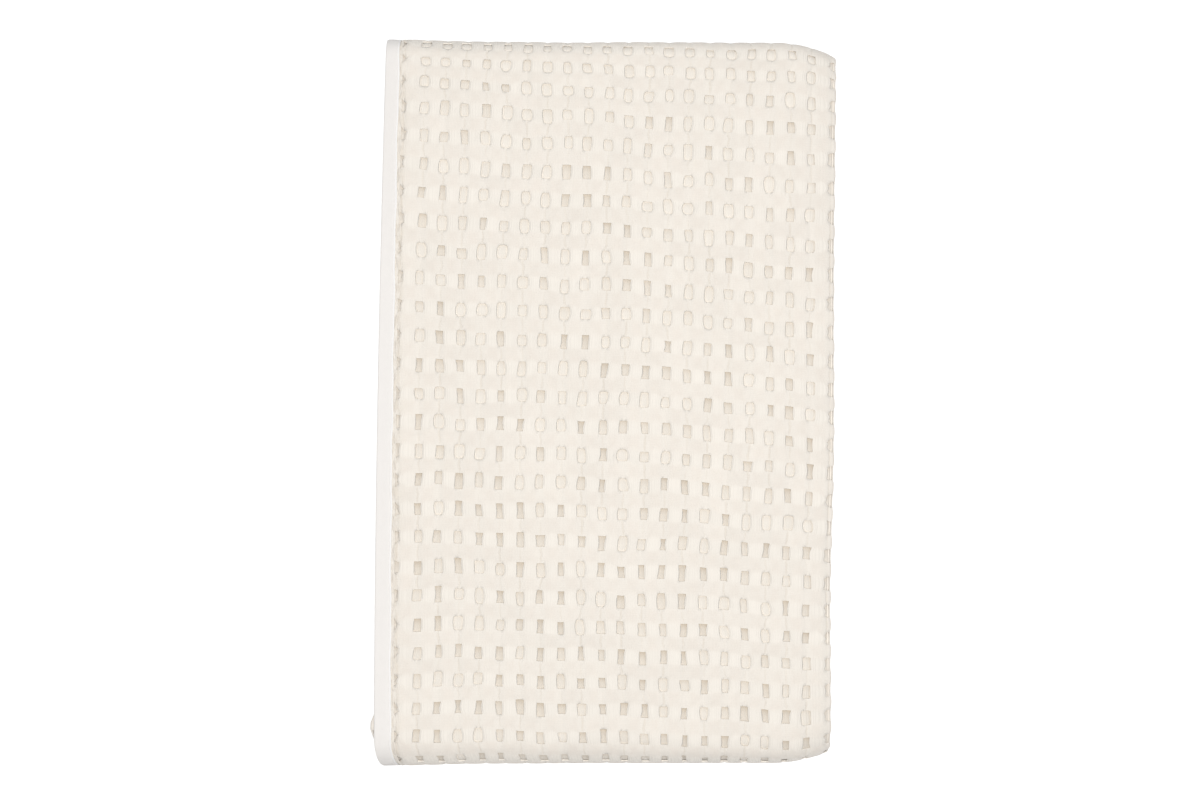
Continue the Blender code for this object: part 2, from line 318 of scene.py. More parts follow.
def sectionAt(column, state):  # x, height, which way the outer face looks, and how full the cloth is
    x, h, nx, nh = (np.zeros(column.shape) for _ in range(4))
    full = np.ones(column.shape)
    for part in section:
        here = (column >= part["start"] - tiny) & (column <= part["end"] + tiny)
        if not here.any():
            continue
        ply = part["ply"]
        side = -1 if ply % 2 else 1
        at = {key: value[here] for key, value in state.items()}
        step = (column[here] - part["start"]) / (part["end"] - part["start"])
        which = "outer" if ply == 0 else "inner"
        nx[here] = 0
        nh[here] = side
        h[here] = plyHeight(ply)
        if part["kind"] in ("tongue", "swell"):
            inwards = step if ply == 0 else 1 - step
            raw = hemX(at, which) + hem["tapeThickness"] + hem["seatGap"]
            pressed = hemX(at, which) + at["tape"] + hem["seatGap"]
            if part["kind"] == "tongue":
                x[here] = raw + (pressed - raw) * inwards
                full[here] = 0
            else:
                x[here] = pressed + hem["swell"] * inwards
                full[here] = smooth(inwards)
        elif part["kind"] == "flat":
            start = hemFlatX(at, "outer") if ply == 0 else foldX(ply - 1, at)
            end = hemFlatX(at, "inner") if ply == fold["plies"] - 1 else foldX(ply, at)
            x[here] = start + (end - start) * step
            full[here] = 1
            if ply == 1:
                x[here] = secondPlyX(column[here], part, at, x[here])
        else:
            angle = np.pi / 2 - side * np.pi * step
            x[here] = foldX(ply, at) + turnRadius * np.cos(angle)
            h[here] += turnRadius * (np.sin(angle) - 1)
            nx[here] = side * np.cos(angle)
            nh[here] = side * np.sin(angle)
    return x, h, nx, nh, full


def ramp(value, start):  # 0 up to start, then rising to 1 at 1
    return unit((value - start) / (1 - start)) ** 2


def settle(x, y, z):  # from the true rectangle to the skewed, rounded stack
    u, v = x / halfWidth, y / halfLength
    corner = ramp(u, stray["cornerStart"])
    far = ramp(v, 1 - stray["cornerReach"])
    near = ramp(-v, 1 - stray["cornerReach"])
    right, left = (1 + u) / 2, (1 - u) / 2
    uneven = np.sin(np.pi * stray["wavesAcross"] * u + 1) * np.sin(np.pi * stray["wavesAlong"] * v)
    drop = stray["cornerDrop"] * corner * np.maximum(far, near)
    drop = drop + stray["edgeDrop"] * ramp(u, stray["edgeStart"])
    lean = stray["leftLean"] * (np.maximum(1 + v, 0) / 2) ** stray["leanPower"]
    waist = stray["rightWaist"] * np.exp(-((v - stray["waistPlace"]) / stray["waistReach"]) ** 2)
    settledX = x + lean * left + (stray["rightFlare"] * v - waist) * right
    settledY = y + stray["leftEndStretch"] * v * ramp(-u, stray["stretchStart"])
    settledY = settledY + corner * (stray["nearCornerPull"] * near - stray["farCornerPull"] * far)
    return np.stack([settledX, settledY, z * (1 + stray["unevenness"] * uneven - drop)], -1)


def place(state, x, h):
    return settle(x, state["y"] + h * state["ny"], state["z"] + h * state["nz"])


def plainMiddle():  # of the plain solids, brought to the frame's origin
    rowSamples, turnSamples = 1200, 9
    rows = np.linspace(firstRow, lastRow, rowSamples)
    columns = np.concatenate([np.linspace(part["start"], part["end"], turnSamples) for part in turns])
    w, r = np.meshgrid(columns, rows)
    state = routeAt(r)
    x, h, nx, nh, _ = sectionAt(w, state)
    half = fold["plyThickness"] / 2
    faces = [place(state, x + side * half * nx, h + side * half * nh) for side in (-1, 1)]
    edge = routeAt(rows)
    for which, ply in (("outer", 0), ("inner", fold["plies"] - 1)):
        faces.append(place(edge, hemX(edge, which), plyHeight(ply)))
    points = np.concatenate([face.reshape(-1, 3) for face in faces])
    middle = (points.min(0) + points.max(0)) / 2
    return np.array([middle[0], middle[1], 0.0])


frameMiddle = plainMiddle()
floorClearance = 0.0001


def inFrame(points):
    points = points - frameMiddle
    points[..., 2] = np.maximum(points[..., 2], floorClearance)
    return points


# How the weave lies askew at some of its rows, in rows: how far a row falls from left to right,
# and how far the whole of it, and its middle, lie towards the far end
rowSkew = {
    "rows": [firstRow, -20, 0, 4, 9, 13, 17, 20, 22, 23.5, 24.5, 30, 60, lastRow],
    "fall": [0, 0.20, 0.53, 0.61, 0.77, 0.90, 0.95, 0.93, 0.83, 0.60, 0.50, 0.60, 0.20, 0],
    "shift": [0, 0, 0.20, 0.12, 0.14, 0.14, 0.22, 0.28, 0.34, 0.14, -0.27, 0, 0, 0],
    "bow": [0, 0, 0.15, 0.13, 0.21, 0.22, 0.11, 0.02, -0.05, -0.09, 0.05, 0, 0, 0],
}

# How the ply below fills each top window, from sunk to flush, and the shade painted on it there
fill = {
    "highest": 0.0013,  # metres, in a flush window
    "nearLevel": -0.20,  # added to each window's draw: most are sunk there
    "farLevel": 0.22,  # most are filled
    "foldLevel": 0.80,  # all are
    "scatter": 0.8,
    "spread": 0.7,
    "narrowing": 0.42,  # of a sunk window against a filled one
    "ownWidthLevel": 0.85,
    "hourglass": 0.11,
    "flattening": 0.096,
    "slit": 0.50,  # how much narrower still beside hem and fold
    "slitShortening": 1.20,
    "ovalWidth": 0.225,
    "ovalHeight": 0.270,
    "ovalPower": 2.6,
    "domePower": 0.75,
    "restShade": 0.14,  # painted shade of every window
    "sunkShade": 0.72,
    "sunkPaintedShadeSlope": 0.60,
    "farPaintedShade": 0.85,
    "nearPaintedShade": 0.20,  # how much deeper the painted shade is at the near end
    "topShade": 0.28,  # painted shade towards a window's far edge, and how much more in a sunk one
    "sunkTopShade": 0.32,
    "top": (0.02, 0.20),
    # painted shade towards a window's right edge
    "rightShade": 0.16,
    "right": (-0.02, 0.18),
    "slitShade": 0.60,
    "shadeReach": 3,  # of the oval, past which no shade is painted
}

# How much a window's form strays for each unit of its own draw, in cells
windowMoves = {
    "shiftU": 0.036,
    "shiftV": 0.042,
    "growU": 0.120,
    "growV": 0.144,
    "lean": 0.090,
    "taper": 0.360,
    "bend": 0.096,
}

# Slow waves over the weave, in pairs: size, turn for each column and row, and start
slowWaves = {
    "alike": [(0.12, 0.9, 0.5, 0.0), (1.0, 0.0, 0.7, 1.9)],
    "driftAcross": [(0.054, 0.22, 0.31, 0.0), (0.0324, -0.4, 0.83, 0.0)],
    "driftAlong": [(0.030, 0.47, 0.15, 0.0), (0.021, 1.1, 0.37, 2.0)],
    "broadHills": [(0.6, 0.71, 0.33, 0.0), (1.0, -0.29, 0.52, 1.1)],
    "smallHills": [(0.4, 1.3, 0.6, 0.4), (1.0, 0.0, 0.9, 2.0)],
}

# The outer face, as shares of its height: puffed bands with creases, and rounded ribs
puffs = {
    "band": (0.17, 0.16),
    "bandHeight": 0.94,
    "creaseLeast": 0.15,
    "creaseSpread": 0.50,
    "creaseWidth": 0.10,
    "dip": 0.06,
    "crownDrop": 0.25,
    "ribHeight": 0.80,
    "ribHalfWidth": 0.31,
}

dice = np.random.default_rng(weave["seed"])
tableRows, tableColumns, rowOffset, widestDraw = 120, 24, 34, 2
windowTable = dice.normal(0, 1, (len(windowMoves), tableRows, tableColumns))
windowTable = np.clip(windowTable, -widestDraw, widestDraw)
fillTable = dice.random((tableRows, tableColumns))
creaseTable = dice.random((tableRows, tableColumns + 1))


def tableAt(table, across, row):
    i = np.clip(np.floor(row).astype(int) + rowOffset, 0, tableRows - 1)
    j = np.clip(np.floor(across).astype(int), 0, tableColumns - 1)
    return table[..., i, j]


def slowWave(name, across, row):  # both waves of a pair
    return [size * np.sin(turnAcross * across + turnAlong * row + start)
            for size, turnAcross, turnAlong, start in slowWaves[name]]


def fromCutEnd(row):
    return np.minimum(row - firstRow, lastRow - row)


def inCell(value):  # from -0.5 to 0.5 across a cell, whose window is round 0
    return value - np.floor(value) - 0.5


def atSide(across):  # beside the hem and the fold the windows are sunk slits
    return (across < 1) | (across > math.floor(weave["lastColumn"]))


def fillLevel(across, row):  # of a cell's window: 0 is sunk and 1 is flush
    cellRow = np.floor(row)
    alike = np.prod(slowWave("alike", np.floor(across), cellRow), axis=0)
    levels = [fill[key] for key in ("nearLevel", "farLevel", "foldLevel")]
    level = np.interp(cellRow, [0, fold["topRows"] - 1, fold["topRows"]], levels)
    level = smooth((level + tableAt(fillTable, across, row) * fill["scatter"] + alike) / fill["spread"])
    return level * ~atSide(across)


def weaveMoves(across, row, jitter):  # how far the weave's points stray, in columns and rows
    u, v = inCell(across), inCell(row)
    inside = (1 - 4 * u * u) * (1 - 4 * v * v)  # 1 in a cell's middle and 0 on its sides
    draws = zip(windowMoves.values(), tableAt(windowTable, across, row))
    shiftU, shiftV, growU, growV, lean, taper, bend = (jitter * size * draw for size, draw in draws)
    level, slit = fillLevel(across, row), atSide(across)
    shortening = fill["slitShortening"] * slit * tableAt(fillTable, across, row)
    growU = growU + jitter * (fill["narrowing"] * (level - fill["ownWidthLevel"]) - fill["slit"] * slit)
    growV = growV - jitter * (fill["flattening"] + shortening)
    waist = weave["waistCurve"] * v * v - weave["waistBase"]
    bend = (bend + fill["hourglass"] * jitter * (1 - level)) * waist
    corner = (u * v / (weave["windowHalfWidth"] * weave["windowHalfHeight"])) ** weave["cornerPower"]
    rounding = weave["cornerRounding"] * (weave["sunkRounding"] + (1 - weave["sunkRounding"]) * level)
    pull = rounding * jitter * unit(corner) * np.sqrt(inside)
    windowU = inside * (shiftU + u * (growU + bend) + lean * v + taper * u * v) - u * pull
    windowV = inside * (shiftV + v * growV) - v * pull
    wide = unit(across / weave["columns"])
    calm = np.sin(np.pi * wide)
    settled = unit(fromCutEnd(row) / weave["settleRows"])
    driftAlong = settled * sum(slowWave("driftAlong", across, row))
    fall, shift, bow = (np.interp(row, rowSkew["rows"], rowSkew[key]) for key in ("fall", "shift", "bow"))
    askew = shift + bow * calm - fall * (wide - 0.5)
    return windowU + calm * sum(slowWave("driftAcross", across, row)), windowV, driftAlong + askew


def relief(column, row):  # 0 in the weave's creases, 1 on top of its puffs
    a, b = inCell(column), np.abs(inCell(row))
    edge = weave["windowHalfHeight"]
    band = rise(b, *puffs["band"])
    depth = puffs["creaseLeast"] + puffs["creaseSpread"] * tableAt(creaseTable, column, row + 0.5)
    crease = depth * np.exp(-(a / puffs["creaseWidth"]) ** 2) + puffs["dip"] * np.cos(2 * np.pi * a)
    crown = 1 - puffs["crownDrop"] * (1 - unit((b - edge) / (0.5 - edge))) ** 2
    rib = np.sqrt(unit(1 - ((0.5 - np.abs(a)) / puffs["ribHalfWidth"]) ** 2))
    return puffs["ribHeight"] * rib * (1 - band) + band * (puffs["bandHeight"] - crease) * crown


def hills(across, row):  # the outer ply's gentle unevenness, from -1 to 1
    return sum(np.prod(slowWave(name, across, row), axis=0) for name in ("broadHills", "smallHills"))


def addObject(name, data):
    item = bpy.data.objects.new(name, data)
    bpy.context.scene.collection.objects.link(item)
    return item


def newPiece(name, points, faces, cells):
    mesh = bpy.data.meshes.new(name)
    mesh.from_pydata(points.tolist(), [], faces)
    mesh.update()
    cell = mesh.attributes.new("weaveCell", "FLOAT_VECTOR", "POINT")
    cell.data.foreach_set("vector", cells.astype(np.float32).ravel())
    mesh.shade_smooth()
    mesh.set_sharp_from_angle(angle=math.radians(78))
    piece = addObject(name, mesh)
    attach(piece, "root")
    print("made", name, "with", 2 * len(faces), "triangles")
    return piece


# One closed sheet from its outer and inner face; the quads that aren't kept are windows
def sheetMesh(name, outer, inner, kept, cells, hollow):
    rows, columns = outer.shape[:2]
    below = rows * columns
    ids = np.arange(below).reshape(rows, columns)
    quads = np.stack([ids[:-1, :-1], ids[:-1, 1:], ids[1:, 1:], ids[1:, :-1]], -1)[kept]
    framed = np.pad(kept, 1)
    sides = [  # a quad's side as its two corners, and whether the cloth goes on beyond it
        (ids[:-1, :-1], ids[1:, :-1], framed[1:-1, :-2]),
        (ids[1:, 1:], ids[:-1, 1:], framed[1:-1, 2:]),
        (ids[:-1, 1:], ids[:-1, :-1], framed[:-2, 1:-1]),
        (ids[1:, :-1], ids[1:, 1:], framed[2:, 1:-1]),
    ]
    parts = [quads, quads[:, ::-1] + below]
    for start, end, beyond in sides:
        rim = kept & ~beyond
        parts.append(np.stack([start[rim], end[rim], end[rim] + below, start[rim] + below], -1))
    used, quads = np.unique(np.concatenate(parts), return_inverse=True)
    quads = quads.reshape(-1, 4)
    points = np.concatenate([outer.reshape(-1, 3), inner.reshape(-1, 3)])[used]
    first, second, third = (points[quads[:, corner]] for corner in range(3))
    if (first * np.cross(second, third)).sum() < 0:
        quads = quads[:, ::-1]
    piece = newPiece(name, points, quads.tolist(), np.concatenate([cells.reshape(-1, 3)] * 2)[used])
    # the hollow attribute is the painted shade in the windows, which the material darkens by
    depth = piece.data.attributes.new("hollow", "FLOAT", "POINT")
    depth.data.foreach_set("value", np.concatenate([hollow.ravel()] * 2)[used].astype(np.float32))
    return piece


# The lines of the meshes, in columns and rows, or as shares of a cell
grid = {
    "fineColumns": [0, 0.10, 0.20, 0.295, 0.385, 0.50, 0.61, 0.705, 0.80, 0.90],
    "fineRows": [0, 0.13, 0.25, 0.375, 0.50, 0.625, 0.75, 0.87],
    "plainColumns": [0, 0.14, 0.28, 0.50, 0.72, 0.86],
    "plainRows": [0, 0.25, 0.50, 0.75],
    "secondColumns": [0, 0.28, 0.33, 0.40, 0.50, 0.60, 0.67, 0.72],
    "secondRows": [0, 0.25, 0.30, 0.38, 0.50, 0.62, 0.70, 0.75],
    "columnsApart": 0.035,
    "rowsApart": 0.03,
    "tightRows": [(23.4, 26.6), (49.5, 51.5)],  # on the strip's two tight folds, with their skew
    "tightStep": 0.125,
    "faceTurnSteps": 6,
    "foldTurnSteps": 4,  # of the inner plies, with few lines between their folds
    "foldReach": 1.5,
    "foldStep": 3.0,
    "foldApart": 0.06,
    "digits": 6,
    "widestCut": 0.3,  # past which the lines are too far apart to cut a window
}
topStartRow, topEndRow = -3.0, 26.0  # where the cloth's pieces meet
faceEndColumn = 21.87  # just past the right-hand fold


def cellLines(first, last, shares):
    cells = range(math.floor(first), math.ceil(last))
    lines = [cell + share for cell in cells for share in grid[shares]]
    return [line for line in lines if first < line < last]


def mergeLines(fixed, loose, apart):  # the loose lines keep clear of the fixed ones
    kept = list(dict.fromkeys(fixed))
    for line in sorted(loose):
        if min(abs(line - other) for other in kept) > apart:
            kept.append(line)
    return np.array(sorted(kept))


def fixedColumns(first, last, turnSteps):
    lines = [first, last]
    for part in section:
        steps = turnSteps if part["kind"] == "turn" else 1
        lines += np.linspace(part["start"], part["end"], steps + 1).tolist()
    digits = grid["digits"]
    grain = 10 ** -digits
    return sorted({round(line, digits) for line in lines if first - grain <= line <= last + grain})


def rowLines(first, last, shares):
    lines = cellLines(first, last, shares)
    for start, end in grid["tightRows"]:
        lines += [line for line in np.arange(start, end, grid["tightStep"]) if first < line < last]
    return mergeLines([first, last], lines, grid["rowsApart"])


def foldColumns(first, last):
    reach = grid["foldReach"]
    lines = list(np.arange(first, last, grid["foldStep"]))
    middles = [(part["start"] + part["end"]) / 2 for part in turns]
    for middle in middles + [weave["firstColumn"], innerHemColumn]:
        around = cellLines(middle - reach, middle + reach, "plainColumns")
        lines += [line for line in around if first < line < last]
    return mergeLines(fixedColumns(first, last, grid["foldTurnSteps"]), lines, grid["foldApart"])


def windowsKept(columns, rows):
    widest = grid["widestCut"]
    u, v = (columns[:-1] + columns[1:]) / 2, (rows[:-1] + rows[1:]) / 2
    openU = (np.abs(inCell(u)) < weave["windowHalfWidth"]) & (np.diff(columns) < widest)
    openU &= (u > weave["hemWindowStart"]) & (u < innerHemColumn)
    openU &= (u < weave["foldWindowEnd"]) | (u > faceEndColumn)
    openV = (np.abs(inCell(v)) < weave["windowHalfHeight"]) & (np.diff(rows) < widest)
    openV &= fromCutEnd(v) > weave["endWindowInset"]
    return ~(openV[:, None] & openU[None, :])


def clothPiece(name, columns, rows, looks, windows=True):
    w, r = np.meshgrid(columns, rows)
    across = lateral(w)
    moveW, windowR, moveR = weaveMoves(across, r, looks["uneven"])
    fromHem = np.minimum(w - weave["firstColumn"], innerHemColumn - w)
    clear = smooth(fromHem / weave["hemFade"])
    for part in turns:
        fromTurn = np.maximum(part["start"] - w, w - part["end"])
        clear = clear * smooth(fromTurn / weave["turnFade"])
    leftwards = np.zeros(w.shape, bool)
    for part in flats[1::2]:
        leftwards |= (w >= part["start"]) & (w <= part["end"])
    state = routeAt(r + moveR + windowR * clear)
    column = np.clip(w + np.where(leftwards, -moveW, moveW) * clear, firstColumn, lastColumn)
    x, h, nx, nh, full = sectionAt(column, state)
    high = relief(w, r) * np.clip(fromCutEnd(r) / weave["endFade"], weave["endHeight"], 1)
    out, under = (low + (top - low) * high for low, top in (looks["outer"], looks["inner"]))
    lift = weave["lift"] * looks["uneven"] * hills(across, r) * np.where(leftwards, -1, 1) * clear
    out, under = out + lift, under - lift
    # hollow carries the painted shade in the windows, none where nothing is painted
    hollow = np.zeros(w.shape)
    if "fill" in looks:
        bulge, hollow = windowFill(across, r)
        under = under + bulge * clear
    thin = weave["pressed"]
    out, under = (thin + (side - thin) * full for side in (out, under))
    outer = inFrame(place(state, x + out * nx, h + out * nh))
    inner = inFrame(place(state, x - under * nx, h - under * nh))
    kept = windowsKept(columns, rows) if windows else np.ones((len(rows) - 1, len(columns) - 1), bool)
    piece = sheetMesh(name, outer, inner, kept, np.stack([w, r, 0 * w], -1), hollow)
    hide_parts("bedspread_cloth")
    return piece


def windowFill(across, row):  # how far the ply below swells into a window, and the shade painted on it there
    u, v = inCell(across), inCell(row)
    power = fill["ovalPower"]
    oval = (np.abs(u) / fill["ovalWidth"]) ** power + (np.abs(v) / fill["ovalHeight"]) ** power
    dome = unit(1 - oval) ** fill["domePower"]
    near = 1 - unit(row / fold["topRows"])
    level = fillLevel(across, row)
    depth = (1 - level) * (fill["farPaintedShade"] + fill["nearPaintedShade"] * near)
    shaded = fill["restShade"] + (fill["sunkShade"] + fill["sunkPaintedShadeSlope"] * v) * depth
    shaded += (fill["topShade"] + fill["sunkTopShade"] * (1 - level)) * rise(v, *fill["top"])
    shaded += fill["rightShade"] * rise(u, *fill["right"])
    shaded *= np.where(atSide(across), fill["slitShade"], 1.0) * (oval < fill["shadeReach"])
    return fill["highest"] * level * dome, shaded


# The heights of each face over the cloth's middle, in creases and on puffs, in metres
outerLooks = {"outer": (0.00035, 0.0016), "inner": (0.0003, 0.00085), "uneven": 1.0}
secondLooks = {"outer": (0.0006, 0.0006), "inner": (0.0015, 0.0015), "uneven": 1.0, "fill": True}
innerLooks = {"outer": (0.00035, 0.00105), "inner": (0.0003, 0.00085), "uneven": 0.0}

faceColumns = mergeLines(
    fixedColumns(firstColumn, faceEndColumn, grid["faceTurnSteps"]),
    cellLines(firstColumn, faceEndColumn, "fineColumns"), grid["columnsApart"])
secondColumns = [foldSum - line for line in cellLines(0, foldSum - faceEndColumn, "secondColumns")]
secondColumns = mergeLines([faceEndColumn, foldSum], secondColumns, grid["columnsApart"])
topFineRows = rowLines(topStartRow, topEndRow, "fineRows")
secondRows = rowLines(topStartRow, topEndRow, "secondRows")
topPlainRows = rowLines(topStartRow, topEndRow, "plainRows")
bottomRows = rowLines(firstRow, topStartRow, "plainRows")
backRows = rowLines(topEndRow, lastRow, "plainRows")

clothPieces = [
    clothPiece("waffle_top_face", faceColumns, topFineRows, outerLooks),
    clothPiece("waffle_second_ply", secondColumns, secondRows, secondLooks, windows=False),
    clothPiece("waffle_under_face", faceColumns, bottomRows, outerLooks),
    clothPiece("waffle_bottom_plies", foldColumns(faceEndColumn, lastColumn), bottomRows, innerLooks),
    clothPiece("waffle_top_plies", foldColumns(foldSum, lastColumn), topPlainRows, innerLooks),
    clothPiece("waffle_middle_plies", foldColumns(firstColumn, lastColumn), backRows, innerLooks),
]

# The tape folded over each side hem
tape = {
    "flatWidth": 0.030,
    "rowStep": 0.125,
    "rowsApart": 0.03,
    "edgeSteps": 8,
    "lip": 0.00012,  # the folded-in edge stands a little proud
    "lipWidth": 0.0008,
    "lipRound": 0.0002,
    "lipBulge": 0.0001,
    "groove": 0.00014,  # the seam pulls the tape down
    "grooveReach": 0.0005,
    "seamInset": 0.0021,
    "lines": [0.70, 0.60, 0.50, 0.40, 0.28],  # across its width, outside the seam
    "pucker": 0.00016,
    "puckerStart": 0.7,  # of the half height: only its two faces pucker
    "puckerSwell": (0.6, 0.4, 0.8, 1.0),  # its mean, and the size, turn and start of its change
    "ripples": [(1.0, 7.3, 1.3, 2.1, 0.0), (0.7, 12.1, 2.0, 1.3, 1.0)],
    "wobbles": [(0.0003, 1.7, 0.6), (0.0002, 4.1, 0.0)],  # of its inner edge: size, turn and start
    "wobbleReach": 0.003,
}


def tapeOutline(width):  # a closed, rounded U across the tape: distance from its outer edge, and height
    half, seam = hem["tapeHalfHeight"], width - tape["seamInset"]
    hollow = half - hem["tapeThickness"]
    crest, groove = half + tape["lip"], half - tape["groove"]
    upper = [(width, hollow), (width + tape["lipBulge"], half - tape["lipRound"])]
    upper += [(width - inset, crest) for inset in (tape["lipRound"], tape["lipWidth"])]
    upper += [(seam + tape["grooveReach"], half), (seam, groove), (seam - tape["grooveReach"], half)]
    upper += [(share * width, half) for share in tape["lines"]] + [(2 * half, half)]
    angles = [math.pi * (0.5 + step / tape["edgeSteps"]) for step in range(tape["edgeSteps"] + 1)]
    bend = [(half + half * math.cos(angle), half * math.sin(angle)) for angle in angles]
    channel = [(half + hollow * math.cos(angle), hollow * math.sin(angle)) for angle in reversed(angles)]
    return upper + bend + [(x, -h) for x, h in reversed(upper)] + channel


def tapePuckers(x, h, row, width):  # soft creases across the tape
    ripple = sum(size * np.sin(turn * row + sway * np.sin(swayTurn * row) + start)
                 for size, turn, sway, swayTurn, start in tape["ripples"])
    mean, size, turn, start = tape["puckerSwell"]
    depth = tape["pucker"] * (mean + size * np.sin(turn * row + start))
    depth = depth * np.sin(np.pi * unit(x / width))
    return np.sign(h) * depth * ripple * (np.abs(h) > tape["puckerStart"] * hem["tapeHalfHeight"])


def tapeHeight(which):  # of the tape's middle, in the strip
    shift = hem["tapeHalfHeight"] - fold["plyThickness"] / 2
    return plyHeight(0) - shift if which == "outer" else plyHeight(fold["plies"] - 1) + shift


def tapePiece(name, which, node):
    rows = np.arange(firstRow, lastRow, tape["rowStep"])
    rows = mergeLines([firstRow, lastRow], rows, tape["rowsApart"])
    state = routeAt(rows[:, None])
    outlines = np.array([tapeOutline(width) for width in state["tape"][:, 0]])
    x, h = outlines[..., 0], outlines[..., 1]
    h = h + tapePuckers(x, h, rows[:, None], state["tape"])
    wobble = sum(size * np.sin(turn * rows + start) for size, turn, start in tape["wobbles"])
    x = x + wobble[:, None] * unit(x / tape["wobbleReach"])
    points = inFrame(place(state, hemX(state, which) + x, tapeHeight(which) + h))
    count = points.shape[1]
    ids = np.arange(points.shape[0] * count).reshape(-1, count)
    after = np.roll(ids, -1, axis=1)
    quads = np.stack([ids[:-1], after[:-1], after[1:], ids[1:]], -1).reshape(-1, 4)
    ends = [ids[0][::-1].tolist(), ids[-1].tolist()]
    girth = np.concatenate([[0], np.cumsum(np.hypot(np.diff(x[0]), np.diff(h[0])))]) / columnPitch
    cells = np.stack([np.tile(girth, len(rows)), np.repeat(rows, count), np.zeros(ids.size)], -1)
    piece = newPiece(name, points.reshape(-1, 3), quads.tolist() + ends, cells)
    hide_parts(node)
    return piece


tapePieces = [
    tapePiece("outer_hem_tape", "outer", "outer_hem_binding"),
    tapePiece("inner_hem_tape", "inner", "inner_hem_binding"),
]

# The seam that holds each tape on, a row of small stitches on both of its faces
stitch = {
    "length": 0.0026,
    "pitch": 0.0036,
    "halfWidth": 0.00022,
    "halfHeight": 0.00016,
    "sides": 5,
    "stations": np.array([-1.0, -0.8, 0.0, 0.8, 1.0]),  # along its half length, and how thick it is there
    "swell": np.array([0.25, 0.85, 1.0, 0.85, 0.25]),
    "raise": 0.6,  # of its height, out of the groove
}


def stitchPiece(name, which):
    steps = int(routeLength / stitch["pitch"])
    along = (np.arange(steps) + 0.5) / steps * routeLength
    legStarts = [leg["alongStart"] for leg in route] + [routeLength]
    legRows = [leg["start"] for leg in route] + [lastRow]
    swell = stitch["swell"][None, :, None]
    rows = np.interp(along[:, None] + stitch["length"] / 2 * stitch["stations"], legStarts, legRows)
    angles = 2 * np.pi * np.arange(stitch["sides"]) / stitch["sides"]
    state = routeAt(rows[..., None])
    x = hemX(state, which) + state["tape"] - tape["seamInset"]
    x = x + stitch["halfWidth"] * swell * np.cos(angles)
    points, faces = [], []
    for face in (1, -1):
        out = stitch["halfHeight"] * swell * (stitch["raise"] + np.sin(angles))
        h = tapeHeight(which) + face * (hem["tapeHalfHeight"] - tape["groove"] + out)
        ring = inFrame(place(state, x, h))
        start = sum(len(block) for block in points)
        ids = start + np.arange(ring[..., 0].size).reshape(ring.shape[:3])
        after = np.roll(ids, -1, axis=2)
        sides = np.stack([ids[:, :-1], after[:, :-1], after[:, 1:], ids[:, 1:]], -1).reshape(-1, 4)
        ends = [ids[:, 0, ::-1], ids[:, -1]]
        if face < 0:
            sides, ends = sides[:, ::-1], [end[:, ::-1] for end in ends]
        faces += sides.tolist() + [end for block in ends for end in block.tolist()]
        points.append(ring.reshape(-1, 3))
    points = np.concatenate(points)
    piece = newPiece(name, points, faces, np.zeros(points.shape))
    return piece


stitchPieces = [stitchPiece("outer_hem_stitches", "outer"), stitchPiece("inner_hem_stitches", "inner")]


# The looks of the materials; places and widths are shares of a cell
noises = {  # scale, stretch across and along the cells, detail and roughness
    "threads": (1.0, 15.0, 3.0, 2.0, 0.5),
    "stray": (1.7, 1.0, 2.3, 2.0, 0.5),
    "faint": (0.9, 1.0, 0.5, 1.0, 0.5),
    "patch": (2.2, 1.0, 1.3, 2.0, 0.5),
    "cloud": (0.35, 1.0, 1.0, 3.0, 0.5),
    "spots": (2.6, 1.0, 1.0, 2.0, 0.5),
    "fuzz": (22.0, 1.0, 1.35, 3.0, 0.7),
    "wrinkle": (1.0, 5.5, 2.4, 3.0, 0.6),
}
ranges = {  # low, high, and the values there
    "rib": (0.12, 0.40, 1.0, 0.0),
    "crease": (0.0, 0.08, 1.0, 0.0),
    "faint": (0.35, 0.65, 0.0, 1.0),
    "puff": (0.10, 0.42, 0.35, 1.0),
    "patch": (0.3, 0.7, 0.6, 1.2),
    "wrinkle": (0.36, 0.68, 0.0, 1.0),
    "besideTape": (0.36, 0.90, 1.0, 0.0),
    "farwards": (-0.5, 0.5, 0.0, 1.0),
    "upwards": (0.0, 0.8, 0.0, 1.0),
}
cotton = {
    "puff": (0.884, 0.823, 0.747, 1),
    "rib": (0.903, 0.855, 0.783, 1),
    # painted shade colour of the creases and of the wrinkles beside the tape
    "crease": (0.82, 0.74, 0.63, 1),
    # painted shade colour of the windows
    "paintedWindowShade": (0.64, 0.56, 0.455, 1),
    "creasePaintedShade": 0.45,
    "paintedWindowShadeShare": 0.55,
    "wrinklePaintedShade": 0.60,
    "clouds": 0.11,
    "cloudShare": 0.4,  # against the smaller spots
    "fleck": 0.05,
    "cellTone": 0.03,
    "creaseStray": 0.16,
    "floats": 9.0,  # ridges across a cell
    "threads": (14.0, 19.0),
    "roughness": (0.80, 0.97),
    "sheen": (0.30, 0.55),
    "bump": 0.00022,
    "threadBump": 0.45,
    "ribCalm": 0.3,
    "floatBump": 0.9,
    "fuzzBump": 0.8,
    "creaseBump": 1.6,
    "wrinkleBump": 3.2,
}
tapeLooks = {
    "colour": (0.920, 0.892, 0.862, 1),
    # a painted highlight along the turned-in edge
    "edge": (0.99, 0.98, 0.965, 1),
    "paintedHighlightWidth": 0.14,  # of the painted highlight along its turned-in edge
    "stitches": (0.93, 0.91, 0.88, 1),
    "clouds": 0.05,
    "fleck": 0.04,
    "threads": (46.0, 52.0),
    "roughness": (0.70, 0.90),
    "sheen": (0.20, 0.50),
    "bump": 0.00008,
    "stitchBump": 0.00005,
}
fuzzRange = (0.3, 0.7)
specular = 0.25


